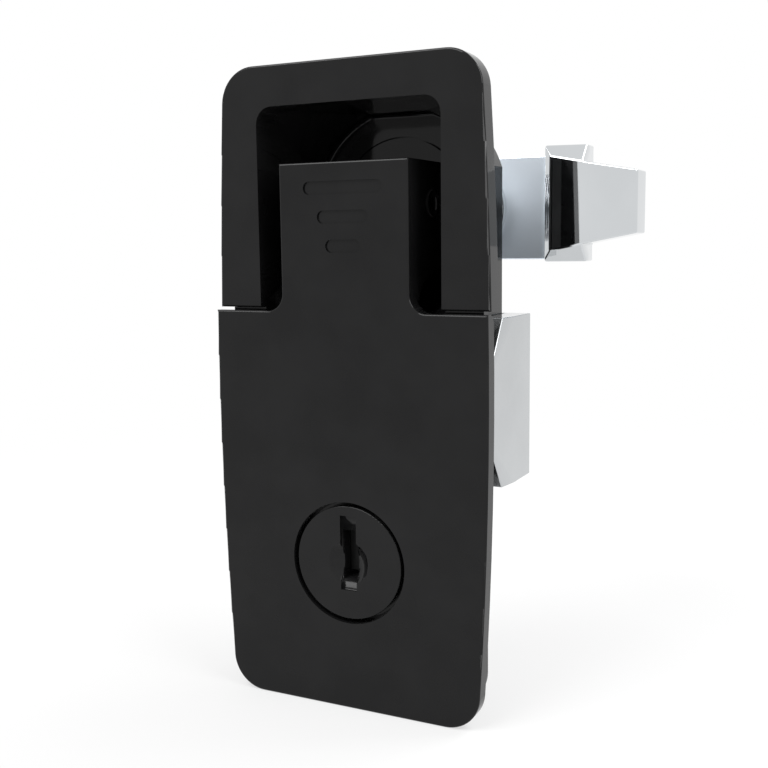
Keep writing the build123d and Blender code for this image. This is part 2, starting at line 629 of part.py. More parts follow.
def make_spring_seats():
    """Thin washer at each end of the spring."""
    bore = ROD_RADIUS + ROD_CLEARANCE
    front_seat = ring(SPRING_SEAT_OUTER, bore, ROTOR_END, ROTOR_END + SPRING_SEAT_THICKNESS)
    back_seat = ring(SPRING_SEAT_OUTER, bore, FRONT_NUT_FRONT - SPRING_SEAT_THICKNESS, FRONT_NUT_FRONT)
    return front_seat, back_seat


def make_compression_spring():
    """Spring that pushes the pawl off the frame when the handle is lifted."""
    front = ROTOR_END + SPRING_SEAT_THICKNESS + SPRING_WIRE_RADIUS
    back = FRONT_NUT_FRONT - SPRING_SEAT_THICKNESS - SPRING_WIRE_RADIUS
    coil_radius = ROD_RADIUS + SPRING_BORE_CLEARANCE + SPRING_WIRE_RADIUS
    path = Helix((back - front) / SPRING_TURNS, back - front, coil_radius)
    start = Plane(origin=path @ 0, z_dir=path % 0)
    coil = sweep(start * Circle(SPRING_WIRE_RADIUS), path=path)
    return Pos(0, front, 0) * Rot(-90, 0, 0) * coil


def bracket_block():
    """Solid form of the tray, its front corners cut back at the top and the bottom."""
    front = PANEL_THICKNESS
    reach = front + BRACKET_CORNER_REACH
    rise = BRACKET_CORNER_HEIGHT
    side = make_face(Polyline((BRACKET_BACK, BRACKET_TOP), (reach, BRACKET_TOP), (front, BRACKET_TOP - rise),
                              (front, BRACKET_BOTTOM + rise), (reach, BRACKET_BOTTOM),
                              (BRACKET_BACK, BRACKET_BOTTOM), close=True))
    return across(side, -BRACKET_HALF, BRACKET_HALF)


def make_mounting_bracket():
    """Folded steel tray whose sides press on the back of the panel."""
    block = lean_corners(bracket_block())
    open_faces = [face for face in block.faces() if face.normal_at().Y < -OPEN_FACE_TILT
                  and abs(face.normal_at().X) < OPEN_FACE_TILT]
    bracket = offset(block, -BRACKET_SHEET, openings=open_faces)
    body_gap = BODY_HALF + BRACKET_BODY_CLEARANCE
    bracket -= between(box_outline(-body_gap, body_gap, -FAR, FAR), 0, BODY_BACK)
    flange_front = PANEL_THICKNESS + BRACKET_CORNER_REACH + BRACKET_FLANGE_SETBACK
    window = BRACKET_HALF - BRACKET_SHEET - BRACKET_CORNER_LEAN_ROOM
    bracket -= between(box_outline(-window, window, -FAR, FAR), 0, flange_front)
    bracket -= disc(SPINDLE_PAD_RADIUS + BRACKET_CUP_CLEARANCE, 0, FAR)
    for side in (-1, 1):
        bracket -= disc(BRACKET_HOLE_RADIUS, 0, FAR, BRACKET_MIDDLE, side * BRACKET_SCREW_HALF_SPACING)
    return bracket


def lean_corners(block):
    """Lean the four front corners inwards, each about a slanting fold line on the side face."""
    lean = radians(BRACKET_FACET_LEAN)
    for side in (-1, 1):
        for end, edge_z in ((1, BRACKET_TOP), (-1, BRACKET_BOTTOM)):
            fold = Vector(0, -BRACKET_FOLD_REACH, -end * BRACKET_FOLD_HEIGHT).normalized()
            to_corner = Vector(0, -BRACKET_FOLD_HEIGHT, end * BRACKET_FOLD_REACH).normalized()
            outwards = Vector(side * cos(lean), 0, 0) + to_corner * sin(lean)
            start = (side * BRACKET_HALF, PANEL_THICKNESS + BRACKET_FOLD_REACH, edge_z)
            block = split(block, bisect_by=Plane(origin=start, x_dir=fold, z_dir=outwards), keep=Keep.BOTTOM)
    return block


def make_bracket_screws():
    """Two pan head screws that pull the bracket to the housing."""
    screws = []
    head_front = BRACKET_BACK + SCREW_WASHER_THICKNESS
    for side in (-1, 1):
        x = side * BRACKET_SCREW_HALF_SPACING
        head = disc(SCREW_HEAD_RADIUS, head_front, head_front + SCREW_HEAD_HEIGHT, BRACKET_MIDDLE, x)
        head = fillet(head.edges().sort_by(Axis.Y)[-1], SCREW_HEAD_HEIGHT / 2)
        screw = head + disc(SCREW_SHANK_RADIUS, head_front - SCREW_SHANK_LENGTH, head_front, BRACKET_MIDDLE, x)
        drive_front = head_front + SCREW_HEAD_HEIGHT - SCREW_DRIVE_DEPTH
        drive = Pos(x, BRACKET_MIDDLE) * RegularPolygon(SCREW_DRIVE_RADIUS, 6)
        screws.append(screw - between(drive, drive_front, FAR))
    return screws


def make_bracket_washers():
    """Washer under each bracket screw."""
    return [ring(SCREW_WASHER_OUTER, SCREW_SHANK_RADIUS + ROD_CLEARANCE, BRACKET_BACK,
                 BRACKET_BACK + SCREW_WASHER_THICKNESS, BRACKET_MIDDLE, side * BRACKET_SCREW_HALF_SPACING)
            for side in (-1, 1)]


def make_lock_barrel():
    """Barrel of the lock, held in the handle by its nut."""
    flange = disc(BARREL_FLANGE_RADIUS, BARREL_SEAT - BARREL_FLANGE_THICKNESS, BARREL_SEAT, LOCK_Z)
    barrel = flange + disc(BARREL_RADIUS, BARREL_SEAT, BARREL_BACK, LOCK_Z)
    return barrel - disc(PLUG_STEM_RADIUS + PLUG_CLEARANCE, HANDLE_FRONT, BARREL_BACK, LOCK_Z)


def make_lock_nut():
    """Thin nut behind the handle's boss."""
    back = LOCK_BOSS_BACK + LOCK_NUT_THICKNESS
    nut = hexagon(LOCK_NUT_ACROSS_FLATS, LOCK_BOSS_BACK, back, LOCK_Z)
    return nut - disc(BARREL_RADIUS + PIN_CLEARANCE, LOCK_BOSS_BACK, back, LOCK_Z)


def wafer_depths():
    """Front face of each wafer, along the stem of the plug."""
    first = BARREL_SEAT + WAFER_PITCH
    return [first + number * WAFER_PITCH for number in range(WAFER_COUNT)]


def make_key_plug():
    """Rotating plug: round face with a keyway, a stem with wafer slots and a square tail."""
    face_back = PLUG_FACE_FRONT + PLUG_FACE_THICKNESS
    face = disc(PLUG_FACE_RADIUS, PLUG_FACE_FRONT, face_back, LOCK_Z)
    face = fillet(face.edges().sort_by(Axis.Y)[0], EDGE_SOFTENING / 2)
    plug = face + disc(PLUG_STEM_RADIUS, face_back, CAM_FRONT, LOCK_Z)
    tail = Pos(0, LOCK_Z) * Rectangle(2 * CAM_SQUARE_HALF, 2 * CAM_SQUARE_HALF)
    plug += between(tail, CAM_FRONT, CAM_FRONT + CAM_THICKNESS)
    shallow = Pos(0, KEYWAY_Z) * Rectangle(KEYWAY_WIDTH, KEYWAY_HEIGHT)
    plug -= between(shallow, PLUG_FACE_FRONT, PLUG_FACE_FRONT + KEYWAY_SHALLOW)
    deep = Pos(0, KEYWAY_Z) * Rectangle(KEY_PATH_WIDTH, KEY_PATH_HEIGHT)
    plug -= between(deep, PLUG_FACE_FRONT, BARREL_BACK)
    plug -= dish()
    for front in wafer_depths():
        slot = Pos(0, LOCK_Z) * Rectangle(WAFER_WIDTH, FAR)
        plug -= between(slot, front, front + WAFER_THICKNESS)
    plug -= disc(CAM_SCREW_RADIUS + PIN_CLEARANCE, CAM_FRONT + CAM_THICKNESS - CAM_SCREW_LENGTH, FAR, LOCK_Z)
    return plug


def dish():
    """Shallow round dish in the plug face that leads the key in."""
    ball_radius = (DISH_RADIUS ** 2 + DISH_DEPTH ** 2) / (2 * DISH_DEPTH)
    return Pos(0, PLUG_FACE_FRONT + DISH_DEPTH - ball_radius, LOCK_Z) * Sphere(ball_radius)


def make_key_shutter():
    """Small plate that closes the keyway against dust."""
    front = PLUG_FACE_FRONT + SHUTTER_SETBACK
    width = KEY_PATH_WIDTH - 2 * SHUTTER_CLEARANCE
    height = KEY_PATH_HEIGHT - 2 * SHUTTER_CLEARANCE
    return between(Pos(0, KEYWAY_Z) * Rectangle(width, height), front, front + SHUTTER_THICKNESS)


def make_wafers():
    """Wafers that stand in the slots of the plug, each with a window for the key."""
    wafers = []
    for front in wafer_depths():
        half = sqrt(PLUG_STEM_RADIUS ** 2 - (WAFER_WIDTH / 2) ** 2) - WAFER_CLEARANCE
        blank = Pos(0, LOCK_Z) * Rectangle(WAFER_WIDTH - 2 * WAFER_CLEARANCE, 2 * half)
        window = Pos(0, KEYWAY_Z) * Rectangle(KEY_PATH_WIDTH, KEY_PATH_HEIGHT / 2)
        wafers.append(between(blank - window, front + WAFER_CLEARANCE, front + WAFER_THICKNESS - WAFER_CLEARANCE))
    return wafers


def make_lock_cam():
    """Flat cam on the tail of the plug, which hooks behind the pocket floor when locked."""
    half = CAM_WIDTH / 2
    outline = box_outline(-half, half, LOCK_Z - CAM_REACH, LOCK_Z) + Pos(0, LOCK_Z) * Circle(half)
    cam = between(outline, CAM_FRONT, CAM_FRONT + CAM_THICKNESS)
    square = CAM_SQUARE_HALF + PIN_CLEARANCE
    hole = Pos(0, LOCK_Z) * Rectangle(2 * square, 2 * square)
    return cam - between(hole, CAM_FRONT, CAM_FRONT + CAM_THICKNESS)


def make_cam_screw():
    """Screw that holds the cam on the plug."""
    seat = CAM_FRONT + CAM_THICKNESS
    head = disc(CAM_SCREW_HEAD_RADIUS, seat, seat + CAM_SCREW_HEAD_HEIGHT, LOCK_Z)
    head = fillet(head.edges().sort_by(Axis.Y)[-1], CAM_SCREW_HEAD_HEIGHT / 2)
    return head + disc(CAM_SCREW_RADIUS, seat - CAM_SCREW_LENGTH, seat, LOCK_Z)


def save(name, *solids):
    """Write one node's solids to its own file."""
    shape = solids[0] if len(solids) == 1 else Compound(children=list(solids))
    shape.label = name
    export_step(shape, f"parts/{name}.step")


def main():
    """Make every piece and write it to its file."""
    front_seat, back_seat = make_spring_seats()
    save("housing", make_housing())
    save("panel_gasket", make_panel_gasket())
    save("mounting_bracket", make_mounting_bracket())
    save("bracket_screws", *make_bracket_screws())
    save("bracket_washers", *make_bracket_washers())
    save("thrust_washer", make_thrust_washer())
    save("rotor", make_rotor())
    save("wear_plate", make_wear_plate())
    save("rotor_seal", make_rotor_seal())
    save("rotor_retaining_ring", make_rotor_retaining_ring())
    save("front_spring_seat", front_seat)
    save("handle", make_handle())
    save("handle_pin", make_handle_pin())
    save("lock_barrel", make_lock_barrel())
    save("lock_nut", make_lock_nut())
    save("key_plug", make_key_plug())
    save("key_shutter", make_key_shutter())
    save("wafers", *make_wafers())
    save("lock_cam", make_lock_cam())
    save("cam_screw", make_cam_screw())
    save("spindle_head", make_spindle_head())
    save("spindle_rod", make_spindle_rod())
    save("compression_spring", make_compression_spring())
    save("back_spring_seat", back_seat)
    save("front_pawl_nut", make_nut(FRONT_NUT_FRONT))
    save("pawl_washers", *make_pawl_washers())
    save("pawl", make_pawl())
    save("rear_pawl_nut", make_nut(REAR_NUT_FRONT))


main()
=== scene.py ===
"""Looks of a flush compression latch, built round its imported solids.

The frame is in metres: +X is to the right of a person facing the latch, +Y goes
into the door and +Z is up. The origin is on the spindle axis, in the front face
of the panel. The latch stands on its lower edge on a white table.
"""
import logging
import math
from dataclasses import dataclass
from enum import Enum
from typing import Callable

import bmesh
import bpy
from mathutils import Matrix, Vector


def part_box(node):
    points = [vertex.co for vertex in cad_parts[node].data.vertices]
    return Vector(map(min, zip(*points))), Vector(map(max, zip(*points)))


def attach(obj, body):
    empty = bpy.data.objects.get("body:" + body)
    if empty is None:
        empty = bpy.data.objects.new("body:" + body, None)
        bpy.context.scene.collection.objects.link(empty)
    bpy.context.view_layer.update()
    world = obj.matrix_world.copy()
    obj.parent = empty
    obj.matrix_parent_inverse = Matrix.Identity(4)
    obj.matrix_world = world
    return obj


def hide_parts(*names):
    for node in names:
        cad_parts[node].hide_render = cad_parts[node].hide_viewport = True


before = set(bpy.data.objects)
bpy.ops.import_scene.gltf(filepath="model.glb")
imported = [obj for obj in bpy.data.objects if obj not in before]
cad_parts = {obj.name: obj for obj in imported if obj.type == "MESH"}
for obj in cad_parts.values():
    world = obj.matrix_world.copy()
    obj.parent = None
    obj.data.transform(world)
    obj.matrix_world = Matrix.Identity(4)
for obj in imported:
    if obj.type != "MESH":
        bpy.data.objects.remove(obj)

logging.basicConfig(level=logging.INFO, format="%(name)s: %(message)s")
log = logging.getLogger("latch")

MM = 0.001

# Height of the lock's axis.
LOCK_HEIGHT = -61.7 * MM

# Noise values between which the colour and the roughness go from one end to the other.
TONE_EDGES = (0.35, 0.65)
GLOSS_EDGES = (0.3, 0.7)

# Layers of the noises, stretch of the drawn grain, and shape of the lathe rings.
PATCH_DETAIL = 3.0
PEEL_DETAIL = 1.0
GRAIN_DETAIL = 4.0
DRAWN_STRETCH = 0.12
RING_SCALE = 0.3
RING_DISTORTION = 0.4

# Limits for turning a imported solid's triangles into whole faces.
MERGE_DISTANCE = 1e-6
MERGE_ANGLE = math.radians(0.5)

# Pull of the largest face on the normals that it shares.
FLAT_FACE_WEIGHT = 100


class Grain(Enum):
    """Kinds of fine surface relief."""

    PEEL = "stoved coat with a faint orange peel"
    CLOUD = "plated sheet with a faint cloudy sheen"
    TURNED = "lathe rings about the spindle axis"
    DRAWN = "fine lines along a drawn wire or bar"
    MATT = "matt rubber or tumbled metal"


@dataclass(frozen=True)
class HubSatinAndPaintedSheen:
    """Satin zone round the spindle on an otherwise bright plated piece, its pale bluish tone a painted
    reflection.

    Attributes:
        tone: Base colour of the zone, pale and bluish as a painted reflection.
        roughness: Roughness of the zone.
        reach: X up to which the zone goes.
        blend: Width over which it fades into the rest.
    """

    tone: tuple[float, float, float]
    roughness: float
    reach: float
    blend: float


@dataclass(frozen=True)
class Finish:
    """One surface finish, made as a procedural material.

    The colour wanders between two close tones, the roughness between two limits,
    and a fine relief breaks up the reflections.

    Attributes:
        name: Name of the material.
        tone: One end of the base colour.
        second_tone: Other end of the base colour.
        roughness: Lowest and highest roughness.
        grain: Kind of fine relief.
        relief_height: Height of the relief.
        metallic: 1 for bare or plated metal, 0 for a coat, moulding or rubber.
        specular: Strength of the reflections of a coat, moulding or rubber.
        patch_size: Size of the patches that the colour and the roughness follow.
        grain_size: Size of the relief.
        axis_height: Height of the axis of the lathe rings.
        hub_satin_and_painted_sheen: Satin zone round the spindle with a painted reflection in its tone, if
            the piece has one.
    """

    name: str
    tone: tuple[float, float, float]
    second_tone: tuple[float, float, float]
    roughness: tuple[float, float]
    grain: Grain
    relief_height: float
    metallic: float = 0.0
    specular: float = 0.5
    patch_size: float = 9 * MM
    grain_size: float = 0.5 * MM
    axis_height: float = 0.0
    hub_satin_and_painted_sheen: HubSatinAndPaintedSheen | None = None

    def material(self) -> bpy.types.Material:
        """Build the material.

        Returns:
            The finished material.
        """
        material = bpy.data.materials.new(self.name)
        material.use_nodes = True
        tree = material.node_tree
        shader = tree.nodes["Principled BSDF"]
        shader.inputs["Metallic"].default_value = self.metallic
        shader.inputs["Specular IOR Level"].default_value = self.specular
        place = tree.nodes.new("ShaderNodeTexCoord").outputs["Object"]
        patches = self.patches(tree, place)
        self.colour(tree, patches, shader)
        self.sheen(tree, patches, shader)
        self.relief(tree, place, shader)
        return material

    def patches(self, tree: bpy.types.NodeTree, place: bpy.types.NodeSocket) -> bpy.types.NodeSocket:
        """Add the broad, soft patches that the tone and the gloss follow.

        Args:
            tree: The material's node tree.
            place: Position on the latch.

        Returns:
            The patch value, from 0 to 1.
        """
        noise = tree.nodes.new("ShaderNodeTexNoise")
        noise.inputs["Scale"].default_value = 1 / self.patch_size
        noise.inputs["Detail"].default_value = PATCH_DETAIL
        tree.links.new(place, noise.inputs["Vector"])
        return noise.outputs["Fac"]

    def colour(self, tree: bpy.types.NodeTree, patches: bpy.types.NodeSocket,
               shader: bpy.types.Node) -> None:
        """Let the base colour wander between the two tones.

        Args:
            tree: The material's node tree.
            patches: The patch value.
            shader: The surface shader.
        """
        ramp = tree.nodes.new("ShaderNodeValToRGB")
        for stop, position, tone in zip(ramp.color_ramp.elements, TONE_EDGES, (self.tone, self.second_tone)):
            stop.position = position
            stop.color = (*tone, 1)
        tree.links.new(patches, ramp.inputs["Fac"])
        tone = ramp.outputs["Color"]
        # On the hub the base colour turns pale and bluish: a painted reflection, not the plating's own
        # colour.
        if self.hub_satin_and_painted_sheen is not None:
            tone = self.with_hub(tree, (*self.hub_satin_and_painted_sheen.tone, 1), tone)
        tree.links.new(tone, shader.inputs["Base Color"])

    def sheen(self, tree: bpy.types.NodeTree, patches: bpy.types.NodeSocket,
              shader: bpy.types.Node) -> None:
        """Let the roughness wander between its two limits.

        Args:
            tree: The material's node tree.
            patches: The patch value.
            shader: The surface shader.
        """
        spread = tree.nodes.new("ShaderNodeMapRange")
        spread.inputs["From Min"].default_value, spread.inputs["From Max"].default_value = GLOSS_EDGES
        spread.inputs["To Min"].default_value, spread.inputs["To Max"].default_value = self.roughness
        tree.links.new(patches, spread.inputs["Value"])
        roughness = spread.outputs["Result"]
        if self.hub_satin_and_painted_sheen is not None:
            roughness = self.with_hub(tree, self.hub_satin_and_painted_sheen.roughness, roughness)
        tree.links.new(roughness, shader.inputs["Roughness"])

    def with_hub(self, tree: bpy.types.NodeTree, hub_value: float | tuple[float, ...],
                 elsewhere: bpy.types.NodeSocket) -> bpy.types.NodeSocket:
        """Let a value of the hub fade into the value elsewhere.

        Args:
            tree: The material's node tree.
            hub_value: The roughness on the hub, or its colour, which holds a painted reflection.
            elsewhere: The roughness or the colour on the rest of the piece.

        Returns:
            The value on the whole piece.
        """
        mix = tree.nodes.new("ShaderNodeMix")
        mix.data_type, kind = ("RGBA", "RGBA") if isinstance(hub_value, tuple) else ("FLOAT", "VALUE")
        on_hub, beyond = [socket for socket in mix.inputs
                          if socket.type == kind and socket.name in ("A", "B")]
        mixed, = [socket for socket in mix.outputs if socket.type == kind]
        on_hub.default_value = hub_value
        tree.links.new(self.beyond_hub(tree), mix.inputs["Factor"])
        tree.links.new(elsewhere, beyond)
        return mixed

    def beyond_hub(self, tree: bpy.types.NodeTree) -> bpy.types.NodeSocket:
        """Tell the arm from the hub that sits on the spindle.

        Args:
            tree: The material's node tree.

        Returns:
            0 on the hub and 1 beyond it.
        """
        place = tree.nodes.new("ShaderNodeTexCoord").outputs["Object"]
        split = tree.nodes.new("ShaderNodeSeparateXYZ")
        blend = tree.nodes.new("ShaderNodeMapRange")
        blend.inputs["From Min"].default_value = self.hub_satin_and_painted_sheen.reach
        blend.inputs["From Max"].default_value = self.hub_satin_and_painted_sheen.reach + self.hub_satin_and_painted_sheen.blend
        tree.links.new(place, split.inputs["Vector"])
        tree.links.new(split.outputs["X"], blend.inputs["Value"])
        return blend.outputs["Result"]

    def relief(self, tree: bpy.types.NodeTree, place: bpy.types.NodeSocket,
               shader: bpy.types.Node) -> None:
        """Add the fine relief.

        Args:
            tree: The material's node tree.
            place: Position on the latch.
            shader: The surface shader.
        """
        height = self.rings(tree, place) if self.grain is Grain.TURNED else self.speckle(tree, place)
        bump = tree.nodes.new("ShaderNodeBump")
        bump.inputs["Distance"].default_value = self.relief_height
        bump.inputs["Strength"].default_value = 1.0
        tree.links.new(height, bump.inputs["Height"])
        tree.links.new(bump.outputs["Normal"], shader.inputs["Normal"])

    def speckle(self, tree: bpy.types.NodeTree, place: bpy.types.NodeSocket) -> bpy.types.NodeSocket:
        """Add an even or a stretched noise.

        Args:
            tree: The material's node tree.
            place: Position on the latch.

        Returns:
            The relief's height, from 0 to 1.
        """
        stretch = tree.nodes.new("ShaderNodeMapping")
        along = DRAWN_STRETCH if self.grain is Grain.DRAWN else 1.0
        stretch.inputs["Scale"].default_value = (1.0, along, 1.0)
        noise = tree.nodes.new("ShaderNodeTexNoise")
        noise.inputs["Scale"].default_value = 1 / self.grain_size
        noise.inputs["Detail"].default_value = PEEL_DETAIL if self.grain is Grain.PEEL else GRAIN_DETAIL
        tree.links.new(place, stretch.inputs["Vector"])
        tree.links.new(stretch.outputs["Vector"], noise.inputs["Vector"])
        return noise.outputs["Fac"]

    def rings(self, tree: bpy.types.NodeTree, place: bpy.types.NodeSocket) -> bpy.types.NodeSocket:
        """Add lathe rings about an axis along Y.

        Args:
            tree: The material's node tree.
            place: Position on the latch.

        Returns:
            The relief's height, from 0 to 1.
        """
        centre = tree.nodes.new("ShaderNodeMapping")
        centre.inputs["Location"].default_value = (0.0, 0.0, -self.axis_height)
        wave = tree.nodes.new("ShaderNodeTexWave")
        wave.wave_type = "RINGS"
        wave.rings_direction = "Y"
        wave.inputs["Scale"].default_value = RING_SCALE / self.grain_size
        wave.inputs["Distortion"].default_value = RING_DISTORTION
        tree.links.new(place, centre.inputs["Vector"])
        tree.links.new(centre.outputs["Vector"], wave.inputs["Vector"])
        return wave.outputs["Fac"]


BODY_BLACK = Finish("body_gloss_black", (0.005, 0.005, 0.0052), (0.007, 0.007, 0.0072), (0.05, 0.09),
                    Grain.PEEL, 0.0015 * MM, specular=0.2, grain_size=1.1 * MM)
HANDLE_BLACK = Finish("handle_gloss_black", (0.005, 0.005, 0.0052), (0.007, 0.007, 0.0072), (0.07, 0.12),
                      Grain.PEEL, 0.0015 * MM, specular=0.19, grain_size=0.9 * MM)
LOCK_BLACK = Finish("lock_face_black", (0.005, 0.005, 0.0052), (0.007, 0.007, 0.0072), (0.08, 0.14),
                    Grain.TURNED, 0.001 * MM, specular=0.2, axis_height=LOCK_HEIGHT)
# The pawl's hub has real satin roughness and a pale bluish base colour that is a painted reflection.
PAWL_PLATE = Finish("pawl_bright_zinc", (0.6, 0.62, 0.635), (0.63, 0.65, 0.665), (0.015, 0.035),
                    Grain.CLOUD, 0.0006 * MM, metallic=1.0, patch_size=14 * MM, grain_size=2.2 * MM,
                    hub_satin_and_painted_sheen=HubSatinAndPaintedSheen((0.86, 0.93, 1.0), 0.42, 20.5 * MM, 3 * MM))
BRACKET_PLATE = Finish("bracket_bright_zinc", (0.49, 0.505, 0.515), (0.53, 0.545, 0.555), (0.1, 0.18),
                       Grain.CLOUD, 0.003 * MM, metallic=1.0, patch_size=16 * MM, grain_size=1.6 * MM)
TURNED_STEEL = Finish("turned_zinc_steel", (0.56, 0.58, 0.6), (0.62, 0.64, 0.66), (0.18, 0.3),
                      Grain.TURNED, 0.004 * MM, metallic=1.0, patch_size=5 * MM)
SPINDLE_STEEL = Finish("spindle_zinc_steel", (0.55, 0.57, 0.59), (0.62, 0.64, 0.66), (0.2, 0.32),
                       Grain.DRAWN, 0.004 * MM, metallic=1.0, patch_size=5 * MM, grain_size=0.35 * MM)
SPRING_STEEL = Finish("spring_steel", (0.42, 0.43, 0.45), (0.5, 0.51, 0.53), (0.2, 0.32),
                      Grain.DRAWN, 0.003 * MM, metallic=1.0, patch_size=4 * MM, grain_size=0.3 * MM)
CLIP_STEEL = Finish("clip_phosphate_steel", (0.05, 0.05, 0.055), (0.075, 0.075, 0.08), (0.38, 0.52),
                    Grain.MATT, 0.01 * MM, metallic=1.0, patch_size=3 * MM, grain_size=0.25 * MM)
HARD_STEEL = Finish("wear_plate_steel", (0.36, 0.37, 0.39), (0.43, 0.44, 0.46), (0.22, 0.34),
                    Grain.TURNED, 0.003 * MM, metallic=1.0, patch_size=4 * MM)
# The shutter's near-black tone is painted shade: it stands for the shadow deep in the key path, not for a
# blackened finish.
SHUTTER_PAINTED_SHADE = Finish("shutter_black_painted_shade", (0.004, 0.004, 0.004), (0.006, 0.006, 0.006), (0.32, 0.45),
                       Grain.DRAWN, 0.004 * MM, specular=0.15, patch_size=2 * MM, grain_size=0.2 * MM)
WAFER_BRASS = Finish("wafer_brass", (0.62, 0.44, 0.17), (0.7, 0.52, 0.23), (0.24, 0.36),
                     Grain.DRAWN, 0.004 * MM, metallic=1.0, patch_size=2 * MM, grain_size=0.2 * MM)
SOFT_RUBBER = Finish("soft_black_rubber", (0.012, 0.012, 0.012), (0.02, 0.02, 0.02), (0.62, 0.78),
                     Grain.MATT, 0.02 * MM, specular=0.3, patch_size=4 * MM, grain_size=0.3 * MM)

NODE_FINISHES: dict[str, Finish] = {
    "housing": BODY_BLACK,
    "handle": HANDLE_BLACK,
    "handle_pin": BODY_BLACK,
    "rotor": BODY_BLACK,
    "lock_barrel": LOCK_BLACK,
    "key_plug": LOCK_BLACK,
    "panel_gasket": SOFT_RUBBER,
    "rotor_seal": SOFT_RUBBER,
    "mounting_bracket": BRACKET_PLATE,
    "pawl": PAWL_PLATE,
    "lock_cam": BRACKET_PLATE,
    "bracket_screws": SPINDLE_STEEL,
    "cam_screw": SPINDLE_STEEL,
    "bracket_washers": SPINDLE_STEEL,
    "thrust_washer": TURNED_STEEL,
    "front_spring_seat": TURNED_STEEL,
    "back_spring_seat": TURNED_STEEL,
    "pawl_washers": TURNED_STEEL,
    "front_pawl_nut": SPINDLE_STEEL,
    "rear_pawl_nut": SPINDLE_STEEL,
    "lock_nut": SPINDLE_STEEL,
    "spindle_head": SPINDLE_STEEL,
    "spindle_rod": SPINDLE_STEEL,
    "compression_spring": SPRING_STEEL,
    "rotor_retaining_ring": CLIP_STEEL,
    "wear_plate": HARD_STEEL,
    "key_shutter": SHUTTER_PAINTED_SHADE,
    "wafers": WAFER_BRASS,
}


class Wardrobe:
    """Keeps one material for each finish and puts it on pieces."""

    def __init__(self) -> None:
        """Start with no materials made."""
        self.made: dict[str, bpy.types.Material] = {}

    def dress(self, piece: bpy.types.Object, finish: Finish) -> None:
        """Give a piece its finish.

        Args:
            piece: The mesh object.
            finish: What it is finished in.
        """
        if finish.name not in self.made:
            self.made[finish.name] = finish.material()
        piece.data.materials.clear()
        piece.data.materials.append(self.made[finish.name])


